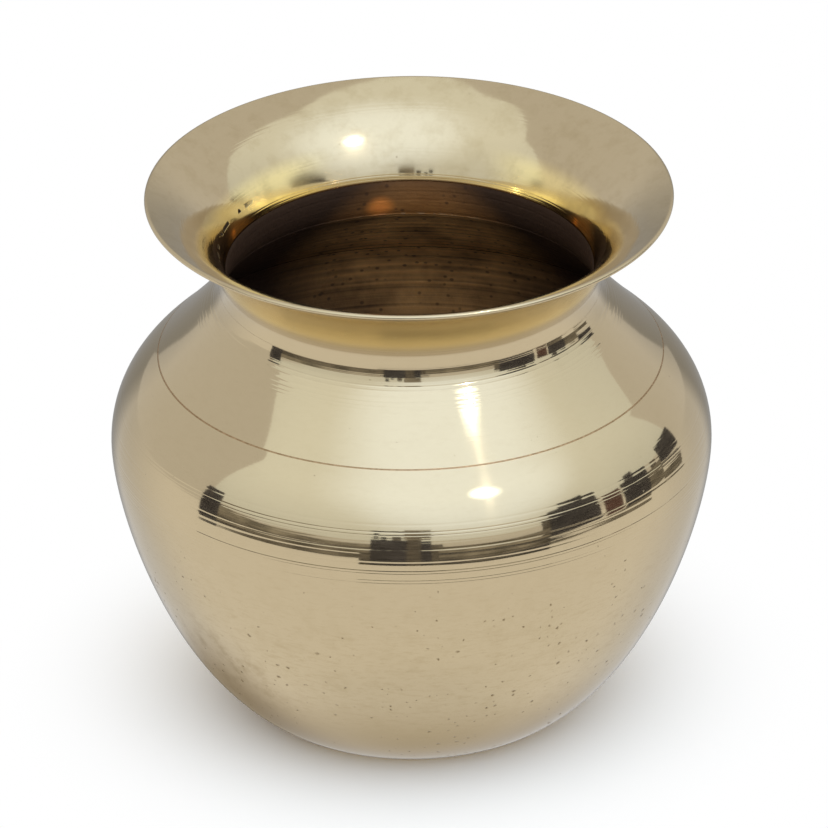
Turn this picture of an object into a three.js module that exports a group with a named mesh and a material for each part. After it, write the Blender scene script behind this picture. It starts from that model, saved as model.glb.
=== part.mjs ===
// A brass lota: a round-bellied water pot with a waisted neck and a flared mouth.
// Three turned shells, the bowl, the shoulder and the mouth collar, are lapped and brazed together.
// Millimetres, +Z up. The origin is the middle of the underside, on the surface that the pot stands on.

import * as THREE from "three";

// Bowl: from the flat underside to the belly, and over it to the shoulder seam
const BASE_RADIUS = 29;
const BASE_RISE_ANGLE = 32;
const BASE_PULL = 20.8;
const FLOOR_THICKNESS = 2;
const BELLY_RADIUS = 55;
const BELLY_HEIGHT = 51.9;
const BELLY_PULL_BELOW = 9.8;
const BELLY_PULL_ABOVE = 10.6;
const SEAM_RADIUS = 46.3;
const SEAM_HEIGHT = 69.35;
const SEAM_PULL = 2;

// Shoulder: a cone from the seam, and a hollow fillet from it up to the short upright neck
const SHOULDER_ANGLE = 47;
const NECK_RADIUS = 34.8;
const NECK_FILLET = 8.2;
const NECK_UPRIGHT = 0.6;

// Mouth: a short turn out of the neck, a long hollow flare, and a cone from it to the lip
const NECK_TURN_RADIUS = 4;
const NECK_TURN_ANGLE = 15;
const FLARE_FILLET = 18.8;
const FLARE_ANGLE = 62;
const LIP_RADIUS = 48.35;

// Walls and brazed laps
const WALL = 1.4;
const BRAZE_GAP = 0.3;
const BRAZE_CLEARANCE = 0.03;
const BRAZE_RECESS = 0.1;
const SHOULDER_LAP = 3;
const NECK_LAP = 3;

// Facets of each round surface
const FACETS = 48;
const LIP_STEPS = 6;

// A point of the half section: distance from the axis, and height
const point = (radius, height) => new THREE.Vector2(radius, height);

// A step of a given length in the half section, its angle measured up from the horizontal
function step(length, degrees) {
  const angle = THREE.MathUtils.degToRad(degrees);
  return point(length * Math.cos(angle), length * Math.sin(angle));
}

// The outside of the pot as one path in the half section, from the base's edge up to the lip

const baseEdge = point(BASE_RADIUS, 0);
const belly = point(BELLY_RADIUS, BELLY_HEIGHT);
const seamPoint = point(SEAM_RADIUS, SEAM_HEIGHT);
const shoulderDirection = 180 - SHOULDER_ANGLE;

const bowlCurve = new THREE.CubicBezierCurve(
  baseEdge,
  baseEdge.clone().add(step(BASE_PULL, BASE_RISE_ANGLE)),
  point(BELLY_RADIUS, BELLY_HEIGHT - BELLY_PULL_BELOW),
  belly,
);
const bellyCurve = new THREE.CubicBezierCurve(
  belly,
  point(BELLY_RADIUS, BELLY_HEIGHT + BELLY_PULL_ABOVE),
  seamPoint.clone().sub(step(SEAM_PULL, shoulderDirection)),
  seamPoint,
);

// The cone runs from the seam until the neck's fillet can take over without a corner.
const filletTurn = THREE.MathUtils.degToRad(90 - SHOULDER_ANGLE);
const filletFootRadius = NECK_RADIUS + NECK_FILLET * (1 - Math.cos(filletTurn));
const coneRise =
  (SEAM_RADIUS - filletFootRadius) *
  Math.tan(THREE.MathUtils.degToRad(SHOULDER_ANGLE));
const filletFoot = point(filletFootRadius, SEAM_HEIGHT + coneRise);
const filletTop = point(NECK_RADIUS, filletFoot.y + NECK_FILLET * Math.sin(filletTurn));
const shoulderCone = new THREE.LineCurve(seamPoint, filletFoot);
const neckFillet = new THREE.EllipseCurve(
  NECK_RADIUS + NECK_FILLET,
  filletTop.y,
  NECK_FILLET,
  NECK_FILLET,
  Math.PI + filletTurn,
  Math.PI,
  true,
);
const neckTop = point(NECK_RADIUS, filletTop.y + NECK_UPRIGHT);
const neckWall = new THREE.LineCurve(filletTop, neckTop);

// The neck turns out by the turn angle, and the flare goes on from there to the flare angle.
const neckTurnAngle = THREE.MathUtils.degToRad(NECK_TURN_ANGLE);
const flareTurn = THREE.MathUtils.degToRad(FLARE_ANGLE);
const neckTurn = new THREE.EllipseCurve(
  NECK_RADIUS + NECK_TURN_RADIUS,
  neckTop.y,
  NECK_TURN_RADIUS,
  NECK_TURN_RADIUS,
  Math.PI,
  Math.PI - neckTurnAngle,
  true,
);
const flareCentre = neckTurn.getPoint(1).add(step(FLARE_FILLET, -NECK_TURN_ANGLE));
const flareFillet = new THREE.EllipseCurve(
  flareCentre.x,
  flareCentre.y,
  FLARE_FILLET,
  FLARE_FILLET,
  Math.PI - neckTurnAngle,
  Math.PI - flareTurn,
  true,
);

// The lip is a half round on the end of the flare.
const flareFoot = flareFillet.getPoint(1);
const flareDirection = step(1, 90 - FLARE_ANGLE);
const lipRound = WALL / 2;
const lipFootRadius = LIP_RADIUS - lipRound + lipRound * Math.cos(flareTurn);
const flareRun = (lipFootRadius - flareFoot.x) / flareDirection.x;
const lipFoot = flareFoot
  .clone()
  .addScaledVector(flareDirection, flareRun);
const flareCone = new THREE.LineCurve(flareFoot, lipFoot);

// Each stretch of the path, with the number of flats that follow it
const stretches = [
  { curve: bowlCurve, flats: 18 },
  { curve: bellyCurve, flats: 8 },
  { curve: shoulderCone, flats: 1 },
  { curve: neckFillet, flats: 6 },
  { curve: neckWall, flats: 1 },
  { curve: neckTurn, flats: 2 },
  { curve: flareFillet, flats: 7 },
  { curve: flareCone, flats: 1 },
];
const outside = new THREE.CurvePath();
stretches.forEach(({ curve }) => outside.add(curve));

// Places along the path, as lengths from the base's edge
const [bellyPlace, seam, , , , neck, , lip] = outside.getCurveLengths();
const neckJoint = neck - NECK_LAP;
const upstandTop = neck - BRAZE_GAP;
const tongueTip = seam - SHOULDER_LAP;
const rebateEnd = tongueTip - BRAZE_GAP;

// Every place where the flats meet
const corners = stretches.flatMap(({ curve, flats }, index) => {
  const start = index ? outside.getCurveLengths()[index - 1] : 0;
  const length = curve.getLength();
  return Array.from({ length: flats }, (_, flat) => start + (length * flat) / flats);
});

// The point at a depth below the outside, square to it
function at(place, depth) {
  const share = place / outside.getLength();
  const along = outside.getTangent(share);
  return outside.getPoint(share).add(point(-along.y, along.x).multiplyScalar(depth));
}

// Points at one depth from one place to another, upwards or downwards, with the corners between them
function run(from, to, depth) {
  const low = Math.min(from, to);
  const high = Math.max(from, to);
  const shortest = BRAZE_GAP / 2;
  const between = corners.filter((place) => place > low + shortest && place < high - shortest);
  const places = [low, ...between, high];
  if (from > to) places.reverse();
  return places.map((place) => at(place, depth));
}

// The place where the inside of the wall comes down to the floor
function floorPlace() {
  let low = 0;
  let high = bellyPlace;
  const closeEnough = BRAZE_CLEARANCE / 100;
  while (high - low > closeEnough) {
    const middle = (low + high) / 2;
    if (at(middle, WALL).y < FLOOR_THICKNESS) low = middle;
    else high = middle;
  }
  return high;
}

// Half round from the outer face of the lip over its top to the inner face
function lipPoints() {
  const centre = at(lip, lipRound);
  return Array.from({ length: LIP_STEPS - 1 }, (_, index) => {
    const turn = (180 * (index + 1)) / LIP_STEPS - FLARE_ANGLE;
    return centre.clone().add(step(lipRound, turn));
  });
}

// Turns a half section about the Z axis
function turned(outline) {
  const geometry = new THREE.LatheGeometry(outline, FACETS);
  return geometry.rotateX(Math.PI / 2);
}

const closed = (outline) => [...outline, outline[0].clone()];

// Depths of the lap faces: the outer skin, then the braze, then the inner skin down to the wall's inside
const outerSkin = (WALL - BRAZE_GAP) / 2;
const innerSkin = outerSkin + BRAZE_GAP;
const brazeOutside = outerSkin + BRAZE_CLEARANCE;
const brazeInside = innerSkin - BRAZE_CLEARANCE;

// Lower body: flat underside, belly, and a rebate turned inside its edge
function bowlOutline() {
  return [
    point(0, 0),
    ...run(0, seam, 0),
    ...run(seam, rebateEnd, outerSkin),
    ...run(rebateEnd, floorPlace(), WALL),
    point(0, FLOOR_THICKNESS),
  ];
}

// Upper body: a tongue inside the bowl's edge, the cone, and a thin upstand at the neck
function shoulderOutline() {
  return closed([
    ...run(seam + BRAZE_GAP, neckJoint, 0),
    ...run(neckJoint, upstandTop, innerSkin),
    ...run(upstandTop, tongueTip, WALL),
    ...run(tongueTip, seam + BRAZE_GAP, innerSkin),
  ]);
}

// Mouth: a tail over the upstand, the flare and the rounded lip
function collarOutline() {
  return closed([
    ...run(neckJoint + BRAZE_GAP, lip, 0),
    ...lipPoints(),
    ...run(lip, neck, WALL),
    ...run(neck, neckJoint + BRAZE_GAP, outerSkin),
  ]);
}

// Braze in the shoulder joint: a film down the lap, and a lip that shows as a fine line outside
function shoulderBrazeOutline() {
  const lower = seam + BRAZE_CLEARANCE;
  const upper = seam + BRAZE_GAP - BRAZE_CLEARANCE;
  return closed([
    at(upper, BRAZE_RECESS),
    ...run(upper, tongueTip, brazeInside),
    ...run(tongueTip, lower, brazeOutside),
    at(lower, BRAZE_RECESS),
  ]);
}

// Braze in the neck joint: a film up the lap, and a lip that shows as a fine line outside
function neckBrazeOutline() {
  const lower = neckJoint + BRAZE_CLEARANCE;
  const upper = neckJoint + BRAZE_GAP - BRAZE_CLEARANCE;
  return closed([
    at(lower, BRAZE_RECESS),
    at(upper, BRAZE_RECESS),
    ...run(upper, upstandTop, brazeOutside),
    ...run(upstandTop, lower, brazeInside),
  ]);
}

// Metals
const brass = (color, roughness) =>
  new THREE.MeshStandardMaterial({ color, roughness, metalness: 1 });

// The pieces, from the base up
const pieces = [
  { name: "bowl", outline: bowlOutline(), material: brass(0xc9b684, 0.16) },
  { name: "shoulder_braze", outline: shoulderBrazeOutline(), material: brass(0x8a5a3c, 0.45) },
  { name: "shoulder", outline: shoulderOutline(), material: brass(0xc9b684, 0.14) },
  { name: "neck_braze", outline: neckBrazeOutline(), material: brass(0x8a5a3c, 0.45) },
  { name: "mouth_collar", outline: collarOutline(), material: brass(0xcbb887, 0.14) },
];

const lota = new THREE.Group();
lota.name = "lota";
for (const { name, outline, material } of pieces) {
  const mesh = new THREE.Mesh(turned(outline), material);
  mesh.name = name;
  lota.add(mesh);
}

export default lota;
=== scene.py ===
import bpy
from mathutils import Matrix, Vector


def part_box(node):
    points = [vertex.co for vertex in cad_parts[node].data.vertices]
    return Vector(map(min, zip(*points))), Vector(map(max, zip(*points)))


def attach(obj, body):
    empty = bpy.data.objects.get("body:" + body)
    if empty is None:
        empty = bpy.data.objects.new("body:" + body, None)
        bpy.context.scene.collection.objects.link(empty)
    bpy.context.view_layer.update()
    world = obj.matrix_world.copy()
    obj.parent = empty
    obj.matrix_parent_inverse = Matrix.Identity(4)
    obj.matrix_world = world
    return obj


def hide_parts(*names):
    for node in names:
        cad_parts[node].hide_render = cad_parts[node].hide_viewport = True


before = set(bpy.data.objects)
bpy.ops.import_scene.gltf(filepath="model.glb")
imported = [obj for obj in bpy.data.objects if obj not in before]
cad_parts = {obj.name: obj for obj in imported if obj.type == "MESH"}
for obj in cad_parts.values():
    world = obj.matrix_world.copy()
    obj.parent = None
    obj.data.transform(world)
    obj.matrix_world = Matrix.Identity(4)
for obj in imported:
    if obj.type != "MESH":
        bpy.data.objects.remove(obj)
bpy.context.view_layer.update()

import bisect
from functools import partial
from math import cos, degrees, pi, radians, sin, tan

import bmesh
import bpy
from bpy.props import FloatProperty, FloatVectorProperty, IntProperty, PointerProperty
from bpy.types import Node, NodeSocket, Operator, Panel, PropertyGroup
from mathutils import Matrix, Vector
from mathutils.geometry import interpolate_bezier

bl_info = {
    "name": "Brass lota",
    "version": (1, 0, 0),
    "blender": (4, 5, 0),
    "location": "View3D > Sidebar > Lota",
    "description": "Builds a turned and brazed brass water pot on its packed frame",
    "category": "Add Mesh",
}

MM = 0.001

# Shortest step along the outside, distance at which two points are one, least turn of a corner, and a round
SHORTEST = 0.02 * MM
SAME = 0.001 * MM
CORNER = radians(25)
FULL_TURN = 360


def linear(colour):
    """Linear colour of an sRGB hex value."""
    shares = [int(colour[place:place + 2], 16) / 255 for place in (0, 2, 4)]
    return tuple(s / 12.92 if s <= 0.04045 else ((s + 0.055) / 1.055) ** 2.4 for s in shares)


def length(name, description, millimetres):
    """A size that a user may change, in metres, with its default given in millimetres."""
    return FloatProperty(
        name=name, description=description, default=millimetres * MM, unit="LENGTH", precision=5
    )


def position(name, description, *millimetres):
    """A place that a user may change, in metres, with its default given in millimetres."""
    return FloatVectorProperty(
        name=name, description=description, default=[along * MM for along in millimetres],
        subtype="TRANSLATION", unit="LENGTH",
    )


def angle(name, description, value):
    """An angle that a user may change, with its default given in degrees."""
    return FloatProperty(name=name, description=description, default=radians(value), subtype="ANGLE")


def colour(name, description, value):
    """A colour that a user may change, with its default given as sRGB hex."""
    return FloatVectorProperty(
        name=name, description=description, default=linear(value), subtype="COLOR", min=0, max=1
    )


def amount(name, description, value):
    """A plain number that a user may change."""
    return FloatProperty(name=name, description=description, default=value, min=0)


BELLY_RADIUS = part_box("bowl")[1].x / MM
LIP_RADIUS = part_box("mouth_collar")[1].x / MM
SEAM_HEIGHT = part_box("bowl")[1].z / MM


class LotaSizes(PropertyGroup):
    """Sizes of the pot's half section, its walls and its joints."""

    base_radius: length("Base radius", "Radius of the flat underside", 29)
    base_rise: angle("Base rise", "Slope of the wall where it leaves the underside", 32)
    base_pull: length("Base pull", "How far the base holds the curve of the bowl", 20.8)
    base_round: length("Base rounding", "Width that the rounded edge of the base takes", 2)
    floor: length("Floor", "Thickness of the floor", 2)
    belly_radius: length("Belly radius", "Largest radius of the pot", BELLY_RADIUS)
    belly_height: length("Belly height", "Height of the largest radius", 51.9)
    pull_below: length("Belly pull below", "How far the belly holds the curve under it", 9.8)
    pull_above: length("Belly pull above", "How far the belly holds the curve over it", 10.6)
    seam_radius: length("Seam radius", "Radius of the shoulder seam", 46.3)
    seam_height: length("Seam height", "Height of the shoulder seam", SEAM_HEIGHT)
    seam_pull: length("Seam pull", "How far the seam holds the curve under it", 2)
    shoulder_slope: angle("Shoulder slope", "Slope of the shoulder where it meets the neck's hollow", 50.5)
    seam_slope: angle("Seam slope", "Slope of the shoulder where it leaves the seam", 44.5)
    neck_radius: length("Neck radius", "Radius of the upright neck", 34.8)
    neck_fillet: length("Neck fillet", "Radius of the hollow under the neck", 8.2)
    neck_upright: length("Upright neck", "Height of the upright stretch of the neck", 0.6)
    neck_turn_radius: length("Neck turn radius", "Radius of the short turn out of the neck", 4)
    neck_turn: angle("Neck turn", "Lean from upright at the end of the short turn", 15)
    flare_fillet: length("Flare fillet", "Radius of the long hollow of the flare", 18.8)
    flare_lean: angle("Flare lean", "Lean of the flare from upright", 58.5)
    rim_lean: angle("Rim lean", "Lean of the flatter rim from upright", 65.5)
    rim_start: length("Rim start", "Radius where the flatter rim starts", 44.4)
    lip_radius: length("Lip radius", "Outer radius of the lip", LIP_RADIUS)
    wall: length("Wall", "Thickness of the walls", 1.4)
    lip_cut: length("Lip cut", "How much thinner than the walls the lip is", 0.5)
    seam_gap: length("Seam gap", "Width of the braze line at the shoulder", 0.3)
    neck_gap: length("Neck gap", "Width of the braze line at the neck, buffed almost shut", 0.03)
    braze_clearance: length("Braze clearance", "Hairline between the braze and the shells", 0.005)
    braze_recess: length("Braze recess", "Depth of the braze below the outside", 0.02)
    lap: length("Lap", "Length of the lap at each joint", 3)
    bead_drop: length("Bead drop", "Length from the neck down to the bead inside", 6.7)
    bead: length("Bead", "Height of the bead inside", 0.08)
    facets: IntProperty(name="Facets", description="Flats round each piece", default=288, min=24)


class LotaFinish(PropertyGroup):
    """Colours and surface sizes of the metals."""

    brass: colour("Brass", "Buffed brass", "C1B08F")
    # Painted reflection: this yellower brass stands in for brass reflected in brass, under the lip and in
    # the throat
    painted_reflection_brass: colour("Gold brass", "Yellower brass in the neck, which wears least", "E8D298")
    # Painted shade: darker, browner brass at the foot, where it would reflect the floor in the pot's own
    # shadow
    tarnish: colour("Tarnish", "Brass at the foot", "9A845A")
    dull_brass: colour("Dull brass", "Brass where the buffing is worn or stained", "A08C64")
    pit: colour("Pit", "Dirt in a casting pit", "6E5838")
    # Painted sheen: this bright orange-brown stands in for light through the mouth falling on the far wall
    # inside
    oxide: colour("Oxide", "Thin brown oxide on the far wall inside", "FFBC74")
    oxide_dark: colour("Dark oxide", "Old oxide inside the pot", "3A2A20")
    # The fitted band's pale oxide is real, but it shows only within the painted sheen
    oxide_pale: colour("Pale oxide", "Thin oxide on the fitted neck", "D88A42")
    edge_oxide: colour("Edge oxide", "Oxide on the lower edge of the throat", "5C3E24")
    # Middle of the painted sheen on the far wall
    painted_sheen_place: position("Oxide place", "Middle of the thin oxide on the far wall", 2, 45, 64)
    # Painted glint: a small orange spot, with its place and reach, that stands in for a highlight on the
    # fitted band
    painted_glint: colour("Bare patch", "Coppery metal where the oxide is rubbed off inside", "FF9A4A")
    painted_glint_place: position("Bare place", "Middle of the rubbed patch", -5.2, 33, 81.2)
    painted_glint_reach: length("Bare reach", "Reach of the rubbed patch", 3.6)
    # Reach of the painted sheen on the far wall
    painted_sheen_reach: length("Oxide reach", "Reach of the thin oxide on the far wall", 30)
    braze: colour("Braze", "Filed brazing alloy", "C0A07C")
    polish: amount("Polish", "Roughness of the buffed brass", 0.06)
    scratches: amount("Scratches", "Share of the light that fine scratches spread", 0.075)
    ring_spacing: length("Ring spacing", "Distance between turning rings", 0.95)
    ring_depth: length("Ring depth", "Depth of the deepest turning rings", 0.06)
    wave_height: length("Wave height", "Height of the waves that buffing leaves", 0.35)
    pit_spacing: length("Pit spacing", "Distance between casting pits", 1.7)
    pit_radius: length("Pit radius", "Largest radius of a casting pit", 0.66)
    stain_place: position("Stain place", "Middle of the stained patch", -33, -29, 20)
    stain_radius: length("Stain radius", "Reach of the stained patch", 17)
    row_height: length("Row height", "Height of the row of gaps in the throat", 90.4)


class LotaStage(PropertyGroup):
    """Floor, light and camera."""

    floor: colour("Floor", "Matt paper floor", "FFFAF3")
    shadow_reach: length("Shadow reach", "Radius where the floor starts to go to plain white", 30)
    white_reach: length("White reach", "Radius where the floor is plain white", 78)
    wall_light: amount("Wall light", "Light of the pale surroundings", 0.82)
    back_light: amount("Back light", "Light of the surroundings behind the pot", 0.43)
    sky_light: amount("Panel light", "Light of the large soft panel", 1.35)
    halo_light: amount("Halo light", "Extra light of the panel round its glow", 0.78)
    glow_light: amount("Glow light", "Extra light in the panel's glow", 3.0)
    disc_light: amount("Disc light", "Light in the middle of the small disc in the glow", 380.0)
    disc_radius: length("Disc radius", "Radius of the small disc in the glow", 55)
    ground_light: amount("Ground light", "Light of the pale ground that the metal shows", 1.02)
    shade: colour("Shade", "Ground that the pot shades, warmed by the brass", "C2B49C")
    shade_place: position("Shade place", "Middle of the ground that the pot shades", -30, -5, 0)
    shade_reach: length("Shade reach", "Reach of the ground that the pot shades", 34)
    distance: length("Camera distance", "From the camera to the middle of the view", 2700)
    rise: angle("Camera rise", "Height of the camera over the horizon", 27.99)
    roll: angle("Camera roll", "Turn of the camera about its line of sight", -0.6)
    aim_height: length("Aim height", "Height of the middle of the view", 56.31)
    aim_side: length("Aim side", "Sideways place of the middle of the view", 0.5)
    focal: amount("Focal length", "Focal length in millimetres", 641.0)


# Half section of the outside

def point(radius, height):
    """A point of the half section."""
    return Vector((radius, 0, height))


def step(reach, slope):
    """A step in the half section, its slope measured up from the horizontal."""
    return point(reach * cos(slope), reach * sin(slope))


def curve(start, start_pull, end_pull, end, flats):
    """Points of one smooth stretch, without its last point."""
    return interpolate_bezier(start, start_pull, end_pull, end, flats + 1)[:-1]


def hollow(centre, radius, first, last, flats):
    """Points of one round stretch, without its last point."""
    pull = radius * 4 / 3 * tan((last - first) / 4)
    start = centre + step(radius, first)
    end = centre + step(radius, last)
    quarter = pi / 2
    return curve(start, start + step(pull, first + quarter), end - step(pull, last + quarter), end, flats)


class Outside:
    """The outside of the pot as one line from the base's edge to the lip, with places measured along it."""

    def __init__(self, sizes):
        base = point(sizes.base_radius, 0)
        belly = point(sizes.belly_radius, sizes.belly_height)
        seam = point(sizes.seam_radius, sizes.seam_height)
        slope = pi - sizes.seam_slope
        turn = pi / 2 - sizes.shoulder_slope
        middle_slope = (sizes.shoulder_slope + sizes.seam_slope) / 2
        foot_radius = sizes.neck_radius + sizes.neck_fillet * (1 - cos(turn))
        foot_height = sizes.seam_height + (sizes.seam_radius - foot_radius) * tan(middle_slope)
        foot = point(foot_radius, foot_height)
        shoulder_pull = (foot - seam).length / 3
        fillet_height = foot_height + sizes.neck_fillet * sin(turn)
        neck_top = point(sizes.neck_radius, fillet_height + sizes.neck_upright)
        fillet_centre = point(sizes.neck_radius + sizes.neck_fillet, fillet_height)
        turn_centre = point(sizes.neck_radius + sizes.neck_turn_radius, neck_top.z)
        neck = turn_centre + step(sizes.neck_turn_radius, pi - sizes.neck_turn)
        flare_centre = neck + step(sizes.flare_fillet, -sizes.neck_turn)
        flare_foot = flare_centre + step(sizes.flare_fillet, pi - sizes.flare_lean)
        flare_rise = pi / 2 - sizes.flare_lean
        rim_rise = pi / 2 - sizes.rim_lean
        rim = flare_foot + step((sizes.rim_start - flare_foot.x) / cos(flare_rise), flare_rise)
        lip_round = (sizes.wall - sizes.lip_cut) / 2
        lip_radius = sizes.lip_radius - lip_round * (1 - cos(sizes.rim_lean))
        lip = rim + step((lip_radius - rim.x) / cos(rim_rise), rim_rise)

        below = point(sizes.belly_radius, sizes.belly_height - sizes.pull_below)
        above = point(sizes.belly_radius, sizes.belly_height + sizes.pull_above)
        under_seam = seam - step(sizes.seam_pull, slope)
        over_seam = seam + step(shoulder_pull, slope)
        under_foot = foot - step(shoulder_pull, pi - sizes.shoulder_slope)
        turn_end = pi - sizes.neck_turn
        # Share of the flare and of the rim that the turn between them takes
        eased = 0.1
        rim_foot = rim.lerp(lip, eased)
        stretches = [
            curve(base, base + step(sizes.base_pull, sizes.base_rise), below, belly, flats=44),
            curve(belly, above, under_seam, seam, flats=26),
            curve(seam, over_seam, under_foot, foot, flats=10),
            hollow(fillet_centre, sizes.neck_fillet, pi + turn, pi, flats=16),
            [point(sizes.neck_radius, fillet_height)],
            hollow(turn_centre, sizes.neck_turn_radius, pi, turn_end, flats=6),
            hollow(flare_centre, sizes.flare_fillet, turn_end, pi - sizes.flare_lean, flats=22),
            [flare_foot, flare_foot.lerp(rim, 1 - eased), rim_foot, lip],
        ]
        self.points = [place for stretch in stretches for place in stretch]
        self.lengths = [0.0]
        for start, end in zip(self.points, self.points[1:]):
            self.lengths.append(self.lengths[-1] + (end - start).length)
        self.seam = self.place_of(seam)
        self.neck = self.place_of(neck)
        self.rim = self.place_of(rim_foot)
        self.lip = self.lengths[-1]
        self.lip_round = lip_round
        self.lip_cut = sizes.lip_cut
        self.rim_lean = sizes.rim_lean

    def place_of(self, spot):
        """The length along the line of the point nearest to a spot."""
        nearest = min(range(len(self.points)), key=lambda index: (self.points[index] - spot).length)
        return self.lengths[nearest]

    def direction(self, index):
        """The way that the line runs at one of its points."""
        before = self.points[max(index - 1, 0)]
        after = self.points[min(index + 1, len(self.points) - 1)]
        return (after - before).normalized()

    def at(self, place, depth):
        """The point at a depth below the outside, square to it."""
        index = min(max(bisect.bisect_right(self.lengths, place) - 1, 0), len(self.points) - 2)
        share = (place - self.lengths[index]) / (self.lengths[index + 1] - self.lengths[index])
        along = self.direction(index).lerp(self.direction(index + 1), share).normalized()
        spot = self.points[index].lerp(self.points[index + 1], share)
        return spot + point(-along.z, along.x) * depth

    def run(self, first, last, depth):
        """Places and points at one depth from one place to another, upwards or downwards."""
        low, high = sorted((first, last))
        between = [place for place in self.lengths if low + SHORTEST < place < high - SHORTEST]
        places = [low, *between, high]
        if first > last:
            places.reverse()
        return [(place, self.at(place, depth)) for place in places]

    def thinned_run(self, first, last):
        """Places and points of the outer face, which is cut back towards the lip to thin it."""
        places = [place for place, spot in self.run(first, last, 0)]
        cuts = [self.lip_cut * max(0.0, (place - self.rim) / (self.lip - self.rim)) for place in places]
        return [(place, self.at(place, cut)) for place, cut in zip(places, cuts)]

    def lip_points(self, flats=10):
        """Half round from the outer face of the lip over its top to the inner face."""
        centre = self.at(self.lip, self.lip_cut + self.lip_round)
        turns = [pi * flat / flats - self.rim_lean for flat in range(1, flats)]
        return [(self.lip, centre + step(self.lip_round, turn)) for turn in turns]


# Turning and dressing a piece

def spin_line(mesh, corners, closed, turn, flats):
    """Joins corners into a line, or into a loop if it is closed, and spins it about the pot's axis."""
    ends = corners[1:] + corners[:1] if closed else corners[1:]
    edges = [mesh.edges.new(pair) for pair in zip(corners, ends)]
    bmesh.ops.spin(
        mesh, geom=corners + edges, cent=(0, 0, 0), axis=(0, 0, 1), dvec=(0, 0, 0),
        angle=radians(turn), steps=flats, use_merge=turn == FULL_TURN, use_normal_flip=False,
        use_duplicate=False,
    )


def turned_piece(outline, facets, closed):
    """Turns a half section about the pot's axis. Each point of the outline is (place, point, inside)."""
    mesh = bmesh.new()
    meridian = mesh.verts.layers.float.new("meridian")
    inside = mesh.verts.layers.float.new("inside")
    corners = []
    for place, spot, within in outline:
        corner = mesh.verts.new(spot)
        corner[meridian] = place
        corner[inside] = within
        corners.append(corner)
    spin_line(mesh, corners, closed, FULL_TURN, facets)
    bmesh.ops.remove_doubles(mesh, verts=mesh.verts, dist=SAME)
    bmesh.ops.recalc_face_normals(mesh, faces=mesh.faces)
    return mesh


def linked(mesh, name, materials):
    """Makes an object of a mesh and puts it in the scene."""
    data = bpy.data.meshes.new(name)
    mesh.to_mesh(data)
    mesh.free()
    for material in materials:
        data.materials.append(material)
    made = bpy.data.objects.new(name, data)
    bpy.context.scene.collection.objects.link(made)
    return made


def finished(mesh, name, materials, node):
    """Makes an object of a turned piece, shades it smooth but for its corners, and sets it on the frame."""
    inside = mesh.verts.layers.float["inside"]
    for face in mesh.faces:
        face.smooth = True
        within = all(corner[inside] > 0.5 for corner in face.verts)
        face.material_index = 1 if within and len(materials) > 1 else 0
    for edge in mesh.edges:
        edge.smooth = edge.calc_face_angle(0) < CORNER
    piece = linked(mesh, name, materials)
    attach(piece, "root")
    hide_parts(node)


def outer(points):
    """Marks points as the outside of a piece."""
    return [(place, spot, 0.0) for place, spot in points]


def inner(points):
    """Marks points as the inside of the pot."""
    return [(place, spot, 1.0) for place, spot in points]


# Materials

BUFFED = "Buffed turned brass"
OXIDISED = "Oxidised turned brass"
WHITE = (1, 1, 1, 1)

# Options that many nodes share
TIMES = {"operation": "MULTIPLY"}
TIMES_PLUS = {"operation": "MULTIPLY_ADD"}
PLUS = {"operation": "ADD"}
MINUS = {"operation": "SUBTRACT"}
SIZE_OF = {"operation": "ABSOLUTE"}
DISTANCE = {"operation": "DISTANCE"}
SOFT = {"interpolation_type": "SMOOTHSTEP"}
ALONG = {"noise_dimensions": "1D"}
TINT = {"data_type": "RGBA"}


def add_node(tree, kind, inputs=(), settings=None):
    """Adds a node, sets its options, and sets or links its inputs, which are named or given in order.

    A node that is given as an input links by its first output.
    """
    made = tree.nodes.new(f"ShaderNode{kind}")
    for name, value in (settings or {}).items():
        setattr(made, name, value)
    for name, value in inputs.items() if isinstance(inputs, dict) else enumerate(inputs):
        if isinstance(value, Node):
            value = next(socket for socket in value.outputs if socket.enabled)
        if isinstance(value, NodeSocket):
            tree.links.new(value, made.inputs[name])
        else:
            made.inputs[name].default_value = value
    return made


def blank_material(name):
    """A new material, what adds a node to it, and the place in the object that its patterns follow."""
    material = bpy.data.materials.new(name)
    material.use_nodes = True
    material.node_tree.nodes.clear()
    add = partial(add_node, material.node_tree)
    return material, add, add("TexCoord").outputs["Object"]


def per(millimetres):
    """Scale of a pattern whose grain is so many millimetres."""
    return 1 / (millimetres * MM)


def opaque(colour):
    """A colour with full alpha, for a colour socket."""
    return (*colour, 1.0)


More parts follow.
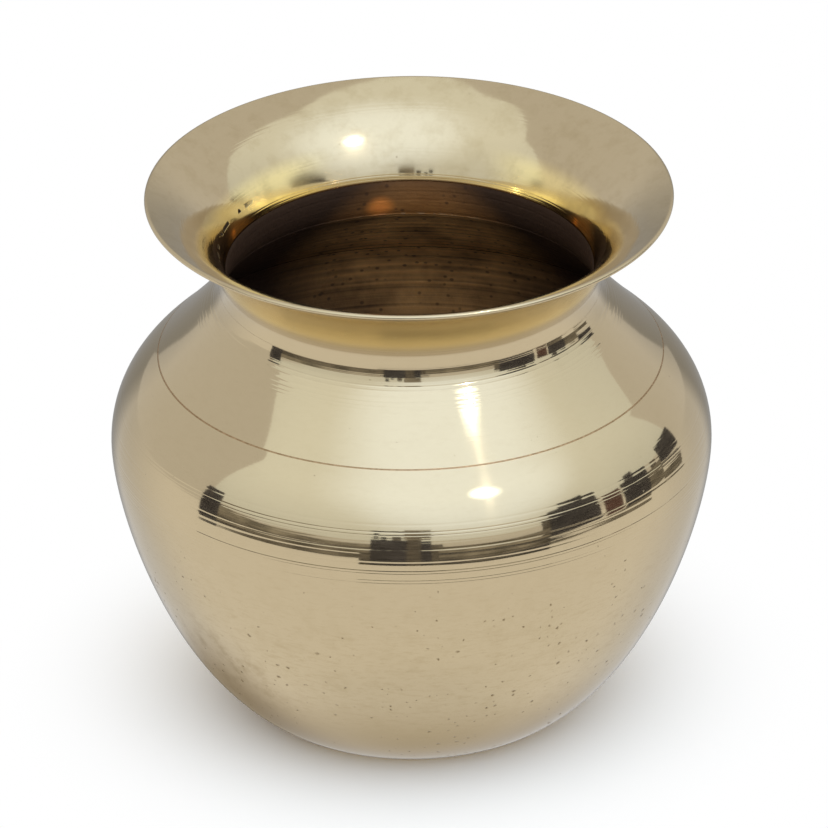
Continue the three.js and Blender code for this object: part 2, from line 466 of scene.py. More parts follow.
def buffed_brass(finish, outside):
    """Cast brass, turned on a lathe and buffed.

    The eye sees a clear pale yellow mirror with fine turning rings, a few dirty pits, a duller neck where
    the buff can't reach, level wear and stains low on the bowl, and flaws where the mouth was brazed on.
    Painted on it are a yellower reflection of brass in brass, under the lip and in the throat, and a
    painted shade that darkens the foot.
    """
    material, add, place = blank_material(BUFFED)
    across, back, up = add("SeparateXYZ", (place,)).outputs
    meridian, inside = (
        add(
            "Attribute", settings={"attribute_name": name},
        ).outputs["Fac"] for name in ("meridian", "inside")
    )
    outward = add("Math", (1.0, inside), MINUS)

    # Patterns, each with the size of its grain: along the half section, in the metal, and drawn out level
    level_place = add("Mapping", {"Vector": place, "Scale": (1, 1, 4)})
    drift = add("TexNoise", {"W": meridian, "Scale": per(4), "Detail": 1.0}, ALONG)
    bands = add("TexNoise", {"W": meridian, "Scale": per(2), "Detail": 1.0}, ALONG)
    swells = add("TexNoise", {"W": meridian, "Scale": per(2.4), "Detail": 2.0}, ALONG)
    ragged = add("TexNoise", {"Vector": place, "Scale": per(0.9), "Detail": 2.0})
    patches = add("TexNoise", {"Vector": place, "Scale": per(11), "Detail": 1.0})
    gaps = add("TexNoise", {"Vector": place, "Scale": per(1.8), "Detail": 1.0})
    waves = add("TexNoise", {"Vector": place, "Scale": per(20), "Detail": 1.0, "Roughness": 0.4})
    smears = add("TexNoise", {"Vector": place, "Scale": per(4), "Detail": 4.0, "Roughness": 0.65})
    wear = add("TexNoise", {"Vector": level_place, "Scale": per(2.6), "Detail": 5.0, "Roughness": 0.7})

    # Even shares: what each follows, where it starts and ends, and what it is there
    share = {"inside": inside, "outward": outward}
    for name, value, first, last, low, high in (
        ("groove depth", bands, 0.35, 0.65, 0.1, 1.0),
        ("swell height", inside, 0.0, 1.0, 0.03 * finish.ring_depth, 0.08 * finish.ring_depth),
        ("height", up, 0.0, 100 * MM, 0.0, 1.0),
        ("low", up, 54 * MM, 32 * MM, 0.2, 1.0),
        ("patch", patches, 0.35, 0.6, 0.25, 1.0),
        ("smear", smears, 0.47, 0.8, 0.0, 1.0),
        ("wear", wear, 0.5, 0.75, 0.0, 0.35),
    ):
        share[name] = add("MapRange", (value, first, last, low, high))

    # Turning rings: narrow uneven grooves that the buff left on the belly and below the neck
    turns = add("Math", (meridian, 1 / finish.ring_spacing), TIMES)
    uneven_turns = 3.0
    turns = add("Math", (drift, uneven_turns, turns), TIMES_PLUS)
    off_groove = add("Math", (turns, 0.5), {"operation": "PINGPONG"})
    zones = add("ValToRGB", {"Fac": share["height"]})
    zones.color_ramp.elements[1].color = opaque((0, 0, 0))
    # Height as a share of 100 mm, and how deep the rings are there
    for height, depth in (
        (0.10, 0.01), (0.46, 0.02), (0.49, 0.4), (0.53, 0.5), (0.56, 0.5), (0.60, 0.4), (0.64, 0.01),
        (0.765, 0.01), (0.78, 0.35), (0.82, 0.7), (0.84, 0.1), (0.95, 0.04), (0.98, 0.12),
    ):
        zones.color_ramp.elements.new(height).color = opaque((depth, depth, depth))
    share["zones"] = zones

    # Casting pits with ragged edges, more of them low on the bowl and in patches
    ragged_place = add("VectorMath", (ragged.outputs["Color"], Vector((1, 1, 1)) * MM, place), TIMES_PLUS)
    cells = add("TexVoronoi", {"Vector": ragged_place, "Scale": 1 / finish.pit_spacing})
    pit_size = add("SeparateColor", (cells.outputs["Color"],))
    for name in ("low", "patch"):
        pit_size = add("Math", (pit_size, share[name]), TIMES)
    largest = finish.pit_radius / finish.pit_spacing
    smallest = 0.0001
    pit_reach = add("Math", (pit_size, largest, smallest), TIMES_PLUS)
    off_pit = add("Math", (cells, pit_reach), {"operation": "DIVIDE"})
    share["pits"] = add("MapRange", (off_pit, 1.0, 0.2, 0.0, 0.8), SOFT)

    # Soft shares: what each follows, where it starts and where it is whole
    off_stain = add("VectorMath", (place, finish.stain_place), DISTANCE)
    sideways = add("Math", (across,), SIZE_OF)
    off_row = add("Math", (up, finish.row_height), MINUS)
    off_row = add("Math", (off_row,), SIZE_OF)
    neck = outside.neck
    for name, value, first, last in (
        ("groove", off_groove, 0.3, 0.0),
        ("stain", off_stain, finish.stain_radius, 0.3 * finish.stain_radius),
        ("neck", meridian, neck - 2 * MM, neck + 1 * MM),
        ("joint edge", meridian, neck + 0.4 * MM, neck + 0.1 * MM),
        ("throat foot", meridian, neck + 1.5 * MM, neck + 3 * MM),
        ("throat top", meridian, neck + 8 * MM, neck + 4.5 * MM),
        ("throat side", sideways, 13 * MM, 25 * MM),
        ("far side", back, 13 * MM, 20 * MM),
        ("over the neck", meridian, neck + 0.5 * MM, neck + 3 * MM),
        ("under the lip", meridian, outside.lip - 1 * MM, outside.lip - 4 * MM),
        ("gaps", gaps, 0.5, 0.56),
        ("row", off_row, 0.4 * MM, 0.2 * MM),
        ("row side", across, -28 * MM, -31 * MM),
        ("row back", back, -6 * MM, -2 * MM),
        # Painted shade, darker towards the foot
        ("tarnish", up, 23 * MM, 3 * MM),
    ):
        share[name] = add("MapRange", (value, first, last), SOFT)

    # Faint stains low on the bowl and in the mouth, besides the stronger patch on one side
    for name, part in (("low", 0.22), ("inside", 0.3)):
        share["stain"] = add(
            "Math", (share[name], part, share["stain"]), {**TIMES_PLUS, "use_clamp": True},
        )

    # The hollow of the neck is out of the buff's reach, and the throat is buffed by hand. A yellower
    # brass is painted as a reflection of brass in brass: outside under the lip, and on both sides of the
    # throat. A short row of black gaps shows on one side of the throat, where the mouth was brazed on.
    for name, *factors in (
        ("grooves", "groove", "groove depth", "zones"),
        ("stains", "stain", "smear"),
        ("wear", "wear", "low"),
        ("dull neck", "neck", "outward"),
        ("joint edge", "joint edge", "inside"),
        ("throat", "throat top", "inside"),
        ("dull throat", "throat", "throat foot", "far side"),
        # Painted reflection of brass in brass: on both sides of the throat, and outside under the lip
        ("gold throat", "throat", "throat side"),
        ("gold", "outward", "over the neck", "under the lip"),
        ("gaps", "gaps", "row", "row side", "row back", "inside"),
    ):
        product = share[factors[0]]
        for factor in factors[1:]:
            product = add("Math", (product, share[factor]), TIMES)
        share[name] = product
    # Both painted reflections together
    share["gold"] = add("Math", (share["gold"], share["gold throat"]), PLUS)

    # Hand buffing leaves the surface a little wavy, under the rings, pits and gaps
    height = add("Math", (waves, finish.wave_height), TIMES)
    for form, rise in (
        (swells, share["swell height"]), (share["grooves"], -finish.ring_depth),
        (share["pits"], -0.06 * MM), (share["gaps"], -0.05 * MM),
    ):
        height = add("Math", (form, rise, height), TIMES_PLUS)
    bump = add("Bump", {"Strength": 1.0, "Distance": 1.0, "Height": height})

    # Colour: buffed brass with the painted reflection and the painted shade at the foot, then real wear,
    # stains, joint oxide, pit dirt and gaps
    tone = opaque(finish.brass)
    for name, shade in (
        ("gold", finish.painted_reflection_brass), ("tarnish", finish.tarnish), ("wear", finish.dull_brass),
        ("stains", finish.dull_brass), ("joint edge", finish.edge_oxide), ("pits", finish.pit),
        ("gaps", finish.oxide_dark),
    ):
        tone = add("Mix", {"Factor": share[name], "A": tone, "B": opaque(shade)}, TINT)
    roughness = finish.polish
    for name, extra in (
        ("pits", 0.4), ("wear", 0.1), ("stains", 0.2), ("dull neck", 0.2), ("inside", 0.02),
        ("dull throat", 0.12), ("joint edge", 0.15), ("gaps", 0.5),
    ):
        roughness = add("Math", (share[name], extra, roughness), TIMES_PLUS)

    # Fine scratches round the pot draw a highlight into a thin upright streak, and in the mouth they blur it
    tangent = add("Tangent", settings={"direction_type": "RADIAL", "axis": "Z"})
    metal = {"Base Color": tone, "Metallic": 1.0}
    turned = {"Anisotropic Rotation": 0.25, "Tangent": tangent}
    buffed = add(
        "BsdfPrincipled", {**metal, **turned, "Roughness": roughness, "Anisotropic": 0.5, "Normal": bump},
    )
    scratched = add("BsdfPrincipled", {**metal, **turned, "Roughness": 0.2, "Anisotropic": 1.0})
    hazy = add("BsdfPrincipled", {**metal, "Roughness": 0.22})
    spread = add("MixShader", (inside, scratched, hazy))
    scratches = finish.scratches
    spread_share = add("Math", (share["throat"], -scratches, scratches), TIMES_PLUS)
    shader = add("MixShader", (spread_share, buffed, spread))
    add("OutputMaterial", {"Surface": shader})
    return material


def oxidised_brass(finish, outside, sizes):
    """The inside of the casting, turned once and left to brown.

    The eye sees dull dark brown oxide with coarse turning rings and a grainy skin with dark dots.
    A painted sheen makes the far wall brighter and more orange, where light through the mouth would fall,
    and a small painted orange glint sits on the fitted band. The paler fitted band, and a row of small pale
    beads of alloy under it where the neck was fitted, show only within the painted sheen.
    """
    material, add, place = blank_material(OXIDISED)
    meridian = add("Attribute", settings={"attribute_name": "meridian"}).outputs["Fac"]
    coarse = {"Roughness": 0.6}
    rings = add("TexNoise", {"W": meridian, "Scale": per(1.3), "Detail": 2.0, **coarse}, ALONG)
    grain = add("TexNoise", {"Vector": place, "Scale": per(1.2), "Detail": 3.0, **coarse})
    blotches = add("TexNoise", {"Vector": place, "Scale": per(14), "Detail": 4.0, **coarse})
    dots = add("TexVoronoi", {"Vector": place, "Scale": per(2.2)})
    height = add("Math", (rings, 0.15 * MM), TIMES)
    height = add("Math", (grain, 0.15 * MM, height), TIMES_PLUS)
    bump = add("Bump", {"Strength": 1.0, "Distance": 1.0, "Height": height})

    # Soft shares: what each follows, where it starts, where it is whole, and how much it is there
    bead = outside.neck - sizes.bead_drop
    off_bead = add("Math", (meridian, bead), MINUS)
    off_bead = add("Math", (off_bead,), SIZE_OF)
    # Painted sheen: a pool of brighter oxide on the far wall, where light through the mouth would fall
    off_thin = add("VectorMath", (place, finish.painted_sheen_place), DISTANCE)
    # Painted glint: a small orange spot that stands in for a highlight on the fitted band
    off_painted_glint = add("VectorMath", (place, finish.painted_glint_place), DISTANCE)
    share = {}
    for name, value, first, last, most in (
        # Painted sheen on the far wall
        ("thin", off_thin, finish.painted_sheen_reach, 0.25 * finish.painted_sheen_reach, 1.0),
        ("dots", dots, 0.24, 0.1, 0.6),
        ("fitted", meridian, bead - 0.4 * MM, bead + 0.6 * MM, 0.8),
        ("bead", off_bead, 0.7 * MM, 0.2 * MM, 1.0),
        ("crumbs", grain, 0.5, 0.62, 1.0),
        # Painted glint on the fitted band
        ("painted_glint", off_painted_glint, finish.painted_glint_reach, 0.2 * finish.painted_glint_reach, 1.0),
    ):
        share[name] = add("MapRange", (value, first, last, 0.0, most), SOFT)

    # Painted sheen on the far wall, in rings and blotches of oxide, where light through the mouth would
    # fall;
    # the fitted band above the bead and the beads of alloy show only within this painted sheen
    # Rings and blotches that pattern the painted sheen
    ring_tone = add("Math", (rings, -0.5, 0.45), TIMES_PLUS)
    painted_sheen_rings = add("Math", (blotches, ring_tone), PLUS)
    share["painted_sheen_rings"] = add("MapRange", (painted_sheen_rings, 1.0, 0.5))
    share["alloy"] = add("Math", (share["bead"], share["crumbs"]), TIMES)
    # The sheen's rings, the fitted band and the alloy beads show only within the painted sheen
    for name in ("painted_sheen_rings", "fitted", "alloy"):
        share[name] = add("Math", (share[name], share["thin"]), TIMES)

    # Colour: dark oxide, brightened by the painted sheen, with the fitted band and alloy beads within it,
    # and the painted glint
    tone = opaque(finish.oxide_dark)
    for name, shade in (
        ("painted_sheen_rings", finish.oxide), ("fitted", finish.oxide_pale), ("dots", finish.oxide_dark),
        ("alloy", finish.braze), ("painted_glint", finish.painted_glint),
    ):
        tone = add("Mix", {"Factor": share[name], "A": tone, "B": opaque(shade)}, TINT)
    shader = add(
        "BsdfPrincipled",
        {"Base Color": tone, "Roughness": 0.55, "Specular IOR Level": 0.1, "Normal": bump},
    )
    add("OutputMaterial", {"Surface": shader})
    return material


def filed_braze(finish):
    """Brazing alloy, filed just below the surface.

    The eye sees a fine dull reddish-brown line with a grainy edge.
    """
    material, add, place = blank_material("Filed brazing alloy")
    grain = add("TexNoise", {"Vector": place, "Scale": per(0.6), "Detail": 2.0})
    tone = add("Mix", {"Factor": grain, "A": opaque(finish.braze), "B": opaque(finish.pit)}, TINT)
    bump = add("Bump", {"Strength": 0.4, "Distance": 0.05 * MM, "Height": grain})
    shader = add(
        "BsdfPrincipled", {"Base Color": tone, "Metallic": 1.0, "Roughness": 0.45, "Normal": bump},
    )
    add("OutputMaterial", {"Surface": shader})
    return material


def matt_paper(stage):
    """White matt paper for the floor, which keeps the pot's shadow and goes to plain white away from it."""
    material, add, place = blank_material("Matt white paper")
    fibre = add("TexNoise", {"Vector": place, "Scale": per(0.5), "Detail": 2.0})
    bump = add("Bump", {"Strength": 0.1, "Distance": 0.02 * MM, "Height": fibre})
    tone = opaque(stage.floor)
    paper = add(
        "BsdfPrincipled",
        {"Base Color": tone, "Roughness": 0.9, "Specular IOR Level": 0.1, "Normal": bump},
    )
    reach = add("VectorMath", (place,), {"operation": "LENGTH"})
    away = add("MapRange", (reach, stage.shadow_reach, stage.white_reach), SOFT)
    seen = add("LightPath").outputs["Is Camera Ray"]
    share = add("Math", (away, seen), TIMES)
    white = add("Emission", {"Color": WHITE, "Strength": 1.0})
    shader = add("MixShader", (share, paper, white))
    add("OutputMaterial", {"Surface": shader})
    return material


def ground_shade(stage):
    """A clear sheet that dims the ground in the metal, where the pot keeps the panel's light off it."""
    material, add, place = blank_material("Ground shade")
    reach = add("VectorMath", (place, stage.shade_place), DISTANCE)
    clear = add("MapRange", (reach, 0.25 * stage.shade_reach, stage.shade_reach), SOFT)
    tone = add("Mix", {"Factor": clear, "A": opaque(stage.shade), "B": WHITE}, TINT)
    sheet = add("BsdfTransparent", {"Color": tone})
    add("OutputMaterial", {"Surface": sheet})
    return material


def disc_light(stage, middle):
    """A small warm white lamp face, bright in its middle and fading to its edge."""
    material, add, place = blank_material("Bright disc")
    reach = add("VectorMath", (place, middle), DISTANCE)
    strength = add("MapRange", (reach, stage.disc_radius, 0.0, 0.0, stage.disc_light), SOFT)
    light = add("Emission", {"Color": opaque(linear("FFFCF3")), "Strength": strength})
    add("OutputMaterial", {"Surface": light})
    return material


def card_light(name, colour):
    """A card of an uneven tone, in soft level bands."""
    material, add, place = blank_material(name)
    level_place = add("Mapping", {"Vector": place, "Scale": (0.3, 0.3, 1.4)})
    bands = add("TexNoise", {"Vector": level_place, "Scale": per(70), "Detail": 3.0})
    strength = add("MapRange", (bands, 0.3, 0.7, 0.45, 1.8))
    light = add("Emission", {"Color": opaque(colour), "Strength": strength})
    add("OutputMaterial", {"Surface": light})
    return material


def panel_light(stage):
    """A large soft panel, a little cool, brighter towards a warm white glow on one side."""
    material, add, place = blank_material("Soft light panel")
    toward = add("VectorMath", (place,), {"operation": "NORMALIZE"})
    parts = add("SeparateXYZ", (toward,)).outputs
    # Each glow's middle, the angles from it where the glow starts and is whole, and its light
    glow = {}
    for name, middle, edge, core, light in (
        ("wide", HALO_BEARING, 48, 0, stage.halo_light), ("narrow", GLOW_BEARING, 6, 1, stage.glow_light),
    ):
        near = add("VectorMath", (toward, bearing(*middle)), {"operation": "DOT_PRODUCT"})
        starts = cos(radians(edge))
        whole = cos(radians(core))
        glow[name] = add(
            "MapRange", (near, starts, whole, 0.0, light), {"interpolation_type": "SMOOTHERSTEP"},
        )
    # The panel is dimmer towards its foot and a little dimmer behind the pot
    low, high = (sin(radians(rise)) for rise in (12, 50))
    even = add("MapRange", (parts["Z"], low, high, 0.8 * stage.sky_light, stage.sky_light))
    fall = add("MapRange", (parts["Y"], -0.4, 0.2, 1.0, 0.95), SOFT)
    even = add("Math", (even, fall), TIMES)
    even = add("Math", (even, glow["narrow"]), PLUS)
    plain = add("Emission", {"Color": opaque(linear("F3FBFF")), "Strength": even})
    cool = add("Emission", {"Color": opaque(linear("B2CEFF")), "Strength": glow["wide"]})
    light = add("AddShader", (plain, cool))
    add("OutputMaterial", {"Surface": light})
    return material


# Stage, in metres and degrees

GLOW_BEARING = (37, 49)
HALO_BEARING = (22, 52)
FLOOR_REACH = 9.0
FLOOR_LEVEL = -0.05 * MM
SHADE_SHEET_REACH = 90 * MM
SHADE_SHEET_LEVEL = -0.02 * MM
POLE_RADIUS = 0.1 * MM
PANEL_REACH = 2.2
PANEL_FOOT = 10
PANEL_EDGE = -82
PANEL_WIDTH = 200
TOP_REACH = 2.25
TOP_FOOT = 1.5
TOP_SIDE = Vector((0.549, -0.751, 0.368))
DISC_REACH = 2.1
CARD_REACH = 1.6
CARD_EYE = 0.06
CARD_TONES = {
    "Dark": "45444A", "Warm dark": "5C4644", "Brown": "625E5A", "Grey": "78746E", "Pale": "949088",
}

# Azimuth of a card's edge, its width, its lower and upper edge, and its tone
CARDS = (
    (-84, 8, -10, 15, "Dark"), (-83, 3, 8, 12, "Pale"), (-76, 60, -9, -5, "Brown"), (-76, 60, -5, 1, "Grey"),
    (-76, 60, 1, 6, "Pale"), (-57, 12, -2, 6, "Brown"), (-34, 18, -5, 3, "Brown"), (-20, 4, -14, 4, "Brown"),
    (-16, 13, -14, 11, "Dark"), (-15, 2, 13, 18, "Dark"), (-12, 2, 11, 14, "Dark"), (-8, 3, 11, 16, "Brown"),
    (-4, 10, 12, 21, "Pale"), (-3, 5, -14, 12, "Brown"), (2, 4, -14, 9, "Dark"), (6, 5, -14, 6, "Brown"),
    (11, 6, -14, 2, "Brown"), (9, 42, -14, -10, "Dark"), (9, 42, -10, -7, "Grey"), (9, 42, -7, -4, "Brown"),
    (9, 42, -4, 0, "Pale"), (9, 42, 0, 3, "Grey"), (48, 3, -6, 12, "Brown"), (51, 22, -6, 17, "Dark"),
    (56, 12, 17, 20, "Dark"), (51, 46, -12, -8, "Grey"), (75, 8, -7, 9, "Warm dark"),
    (84, 13, -8, 10, "Dark"), (87, 4, 10, 14, "Dark"), (97, 10, -9, 4, "Grey"), (100, 4, 0, 7, "Brown"),
    (107, 12, -1, 12, "Dark"), (107, 12, -12, -6, "Grey"),
)


def bearing(azimuth, elevation):
    """The way towards a bearing: azimuth 0 is towards the camera, and positive to its right."""
    a = radians(azimuth)
    e = radians(elevation)
    return Vector((sin(a) * cos(e), -cos(a) * cos(e), sin(e)))


def staged(name, mesh, material):
    """Makes an object of a mesh that belongs to the stage."""
    sheet = linked(mesh, name, [material])
    return sheet


def swept(name, material, line, azimuth, width, flats):
    """A sheet made by sweeping a line of points about the pot's axis, from one azimuth over a width."""
    mesh = bmesh.new()
    corners = [mesh.verts.new(spot) for spot in line]
    turn = Matrix.Rotation(radians(azimuth), 3, "Z")
    bmesh.ops.rotate(mesh, cent=(0, 0, 0), matrix=turn, verts=corners)
    spin_line(mesh, corners, False, width, flats)
    return staged(name, mesh, material)


def only_reflected(sheet):
    """Keeps a card out of sight and out of the light, so that it shows in the metal alone."""
    for ray in ("camera", "diffuse", "shadow", "transmission", "volume_scatter"):
        setattr(sheet, f"visible_{ray}", False)


class LotaOperator:
    """What the operators share."""

    bl_options = {"REGISTER", "UNDO"}


class LOTA_OT_bowl(LotaOperator, Operator):
    """Make the bowl, from the flat underside to the shoulder seam"""

    bl_idname = "lota.bowl"
    bl_label = "Bowl"

    def execute(self, context):
        sizes = context.scene.lota_sizes
        finish = context.scene.lota_finish
        outside = Outside(sizes)
        seam = outside.seam
        skin = (sizes.wall - sizes.seam_gap) / 2
        rebate = seam - sizes.lap - sizes.seam_gap
        low = 0.0
        while outside.at(low, sizes.wall).z < sizes.floor:
            low += SHORTEST
        outline = outer([(-sizes.base_radius, point(0, 0))])
        outline += outer(outside.run(0, seam, 0))
        outline += outer(outside.run(seam, rebate, skin))
        outline += inner(outside.run(rebate, low, sizes.wall))
        outline += inner([(low - sizes.base_radius, point(0, sizes.floor))])
        mesh = turned_piece(outline, sizes.facets, closed=False)
        edge = [
            e for e in mesh.edges
            if all(v.co.z < SAME and abs(v.co.xy.length - sizes.base_radius) < SAME for v in e.verts)
        ]
        bmesh.ops.bevel(
            mesh, geom=edge, offset=sizes.base_round, offset_type="OFFSET", segments=6, profile=0.5,
            affect="EDGES", material=-1,
        )
        materials = [buffed_brass(finish, outside), oxidised_brass(finish, outside, sizes)]
        finished(mesh, "bowl_shell", materials, "bowl")
        return {"FINISHED"}


class LOTA_OT_shoulder(LotaOperator, Operator):
    """Make the shoulder, from its tongue in the bowl's rebate to the thin upstand at the neck"""

    bl_idname = "lota.shoulder"
    bl_label = "Shoulder"

    def execute(self, context):
        sizes = context.scene.lota_sizes
        outside = Outside(sizes)
        joint = outside.neck - sizes.lap
        top = outside.neck - sizes.neck_gap
        tongue = outside.seam - sizes.lap
        butt = outside.seam + sizes.seam_gap
        seam_skin = (sizes.wall + sizes.seam_gap) / 2
        neck_skin = (sizes.wall + sizes.neck_gap) / 2
        bead = outside.neck - sizes.bead_drop
        outline = outer(outside.run(butt, joint, 0))
        outline += outer(outside.run(joint, top, neck_skin))
        outline += inner(outside.run(top, bead + 2 * sizes.bead, sizes.wall))
        for share, rise in ((1.2, 0.8), (0, 1), (-1.2, 0.6)):
            place = bead + share * sizes.bead
            outline += inner([(place, outside.at(place, sizes.wall + rise * sizes.bead))])
        outline += inner(outside.run(bead - 2 * sizes.bead, tongue, sizes.wall))
        outline += outer(outside.run(tongue, butt, seam_skin))
        mesh = turned_piece(outline, sizes.facets, closed=True)
        materials = [bpy.data.materials[BUFFED], bpy.data.materials[OXIDISED]]
        finished(mesh, "shoulder_shell", materials, "shoulder")
        return {"FINISHED"}


class LOTA_OT_collar(LotaOperator, Operator):
    """Make the mouth collar, from its tail over the neck to the rounded lip"""

    bl_idname = "lota.collar"
    bl_label = "Mouth collar"

    def execute(self, context):
        sizes = context.scene.lota_sizes
        outside = Outside(sizes)
        tail = outside.neck - sizes.lap + sizes.neck_gap
        skin = (sizes.wall - sizes.neck_gap) / 2
        outline = outer(outside.thinned_run(tail, outside.lip))
        outline += outer(outside.lip_points())
        outline += inner(outside.run(outside.lip, outside.neck, sizes.wall))
        outline += outer(outside.run(outside.neck, tail, skin))
        mesh = turned_piece(outline, sizes.facets, closed=True)
        finished(mesh, "collar_shell", [bpy.data.materials[BUFFED]], "mouth_collar")
        return {"FINISHED"}


class LOTA_OT_brazes(LotaOperator, Operator):
    """Make the braze in both joints: a film in the lap, and a lip that shows as a fine line outside"""

    bl_idname = "lota.brazes"
    bl_label = "Brazed joints"

    def execute(self, context):
        sizes = context.scene.lota_sizes
        outside = Outside(sizes)
        material = filed_braze(context.scene.lota_finish)
        hair = sizes.braze_clearance
        neck_line = outside.neck - sizes.lap
        tongue = outside.seam - sizes.lap
        upstand = outside.neck - sizes.neck_gap
        for name, node, line, gap, end, way in (
            ("shoulder_seam_braze", "shoulder_braze", outside.seam, sizes.seam_gap, tongue, 1),
            ("neck_seam_braze", "neck_braze", neck_line, sizes.neck_gap, upstand, -1),
        ):
            low = line + hair
            high = line + gap - hair
            half = way * (gap / 2 - hair)
            outline = outer([(high, outside.at(high, sizes.braze_recess))])
            outline += outer(outside.run(high, end, sizes.wall / 2 + half))
            outline += outer(outside.run(end, low, sizes.wall / 2 - half))
            outline += outer([(low, outside.at(low, sizes.braze_recess))])
            mesh = turned_piece(outline, sizes.facets, closed=True)
            finished(mesh, name, [material], node)
        return {"FINISHED"}


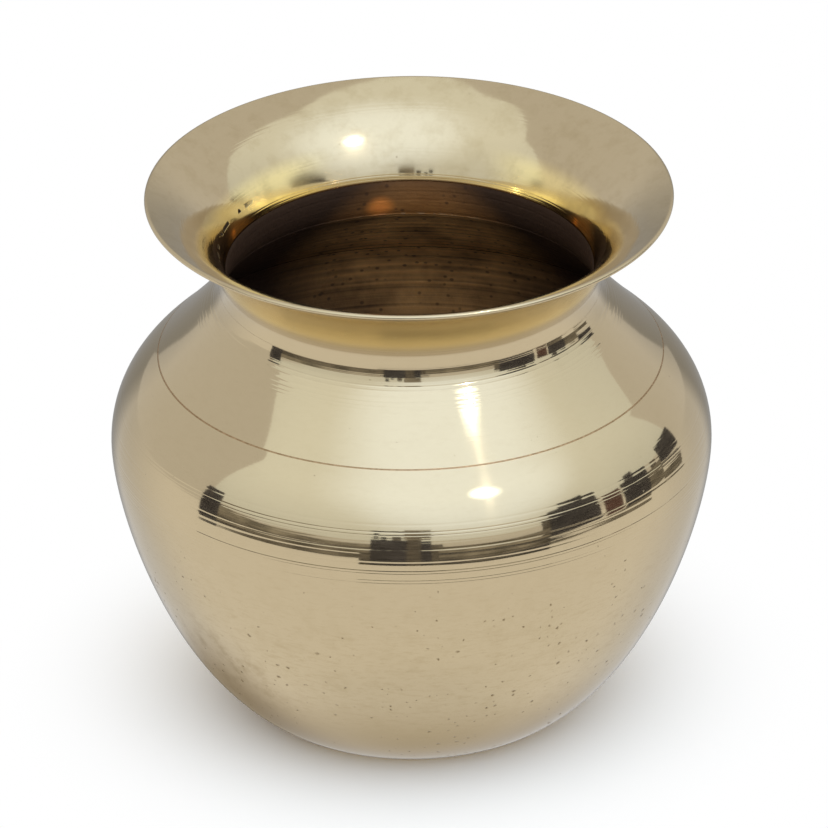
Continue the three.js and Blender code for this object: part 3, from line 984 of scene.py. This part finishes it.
class LOTA_OT_stage(LotaOperator, Operator):
    """Make the floor, the soft panel, the cards and the camera"""

    bl_idname = "lota.stage"
    bl_label = "Stage"

    def execute(self, context):
        stage = context.scene.lota_stage
        self.make_floor(stage)
        self.make_surroundings(context.scene, stage)
        self.make_panel(stage)
        self.make_disc(stage)
        self.make_cards()
        self.make_camera(context.scene, stage)
        context.scene.view_settings.view_transform = "Standard"
        return {"FINISHED"}

    def make_floor(self, stage):
        """A wide disc of matt paper. The metal shows the pale ground in its place, under a shading sheet."""
        line = [(POLE_RADIUS, 0, FLOOR_LEVEL), (0, -1, FLOOR_LEVEL), (0, -FLOOR_REACH, FLOOR_LEVEL)]
        floor = swept("floor", matt_paper(stage), line, azimuth=0, width=FULL_TURN, flats=64)
        floor.visible_glossy = False
        line = [(POLE_RADIUS, 0, SHADE_SHEET_LEVEL), (0, -SHADE_SHEET_REACH, SHADE_SHEET_LEVEL)]
        shade = swept("ground_shade", ground_shade(stage), line, azimuth=0, width=FULL_TURN, flats=48)
        only_reflected(shade)

    def make_surroundings(self, scene, stage):
        """Even pale light from all round, lower behind the pot, and a pale ground in the lower half."""
        world = bpy.data.worlds.new("Pale surroundings")
        world.use_nodes = True
        scene.world = world
        world.node_tree.nodes.clear()
        add = partial(add_node, world.node_tree)
        toward = add("TexCoord").outputs["Generated"]
        parts = add("SeparateXYZ", (toward,)).outputs
        level = {}
        for name, way, first, last, low, high in (
            ("walls", "Y", 0.75, 1.0, stage.wall_light, stage.back_light),
            ("ground", "Y", 0.1, 0.85, stage.ground_light, 0.7 * stage.ground_light),
            ("underfoot", "Z", -1.0, -0.88, 0.9, 1.0),
            ("far off", "Y", 0.77, 0.88, 1.0, 0.5),
        ):
            level[name] = add("MapRange", (parts[way], first, last, low, high), SOFT)
        for name in ("underfoot", "far off"):
            level["ground"] = add("Math", (level["ground"], level[name]), TIMES)
        below = add("MapRange", (parts["Z"], 0.01, -0.01))
        strength = add(
            "Mix", {"Factor": below, "A": level["walls"], "B": level["ground"]}, {"data_type": "FLOAT"},
        )
        light = add("Background", {"Color": WHITE, "Strength": strength})
        add("OutputWorld", {"Surface": light})

    def make_panel(self, stage):
        """A bent soft panel in front of the pot, and its top over the pot."""
        light = panel_light(stage)
        flats = 28
        rises = [PANEL_FOOT + (90 - PANEL_FOOT) * flat / flats for flat in range(flats + 1)]
        line = [PANEL_REACH * bearing(0, rise) for rise in rises]
        front = swept("soft_panel", light, line, azimuth=PANEL_EDGE, width=PANEL_WIDTH, flats=60)
        mesh = bmesh.new()
        bmesh.ops.create_uvsphere(mesh, u_segments=64, v_segments=32, radius=TOP_REACH)
        other_side = TOP_SIDE * Vector((-1, 1, 1))
        for middle, way in (((0, 0, TOP_FOOT), (0, 0, 1)), ((0, 0, 0), TOP_SIDE), ((0, 0, 0), other_side)):
            everything = mesh.verts[:] + mesh.edges[:] + mesh.faces[:]
            bmesh.ops.bisect_plane(mesh, geom=everything, plane_co=middle, plane_no=way, clear_inner=True)
        top = staged("soft_panel_top", mesh, light)
        for sheet in (front, top):
            sheet.visible_camera = False

    def make_disc(self, stage):
        """A small bright disc before the panel's glow."""
        toward = bearing(*GLOW_BEARING)
        middle = DISC_REACH * toward
        turn = toward.to_track_quat("Z", "Y").to_matrix().to_4x4()
        mesh = bmesh.new()
        bmesh.ops.create_circle(
            mesh, cap_ends=True, segments=32, radius=stage.disc_radius,
            matrix=Matrix.Translation(middle) @ turn,
        )
        only_reflected(staged("bright_disc", mesh, disc_light(stage, middle)))

    def make_cards(self):
        """Grey and dark cards along the horizon in front, which only the metal shows."""
        tones = {name: card_light(f"{name} card", linear(value)) for name, value in CARD_TONES.items()}
        for index, (azimuth, width, low, high, tone) in enumerate(CARDS):
            heights = [CARD_REACH * tan(radians(rise)) + CARD_EYE for rise in (low, high)]
            line = [(0, -CARD_REACH, height) for height in heights]
            only_reflected(swept(f"card_{index}", tones[tone], line, azimuth, width, flats=12))

    def make_camera(self, scene, stage):
        """A long lens at the photograph's height, turned a little about its line of sight."""
        data = bpy.data.cameras.new("camera")
        data.lens = stage.focal
        data.sensor_width = 36
        data.clip_start = 0.1
        data.clip_end = 100
        camera = bpy.data.objects.new("camera", data)
        scene.collection.objects.link(camera)
        back = bearing(0, degrees(stage.rise))
        aim = Vector((stage.aim_side, 0, stage.aim_height))
        sight = (-back).to_track_quat("-Z", "Y").to_matrix().to_4x4()
        roll = Matrix.Rotation(stage.roll, 4, "Z")
        camera.matrix_world = Matrix.Translation(aim + back * stage.distance) @ sight @ roll
        scene.camera = camera


class LOTA_PT_panel(Panel):
    """Sizes, finishes and steps of the lota"""

    bl_idname = "LOTA_PT_panel"
    bl_label = "Lota"
    bl_space_type = "VIEW_3D"
    bl_region_type = "UI"
    bl_category = "Lota"

    def draw(self, context):
        layout = self.layout
        for operator in OPERATORS:
            layout.operator(operator.bl_idname)
        for holder, group in GROUPS.items():
            column = layout.column(align=True)
            for name in group.__annotations__:
                column.prop(getattr(context.scene, holder), name)


OPERATORS = (LOTA_OT_bowl, LOTA_OT_shoulder, LOTA_OT_collar, LOTA_OT_brazes, LOTA_OT_stage)
GROUPS = {"lota_sizes": LotaSizes, "lota_finish": LotaFinish, "lota_stage": LotaStage}
CLASSES = (*GROUPS.values(), *OPERATORS, LOTA_PT_panel)


def register():
    for made in CLASSES:
        bpy.utils.register_class(made)
    for holder, group in GROUPS.items():
        setattr(bpy.types.Scene, holder, PointerProperty(type=group))


def unregister():
    for holder in GROUPS:
        delattr(bpy.types.Scene, holder)
    for made in reversed(CLASSES):
        bpy.utils.unregister_class(made)


def main():
    register()
    bpy.ops.lota.bowl()
    bpy.ops.lota.shoulder()
    bpy.ops.lota.collar()
    bpy.ops.lota.brazes()
    bpy.ops.lota.stage()


if __name__ == "__main__":
    main()
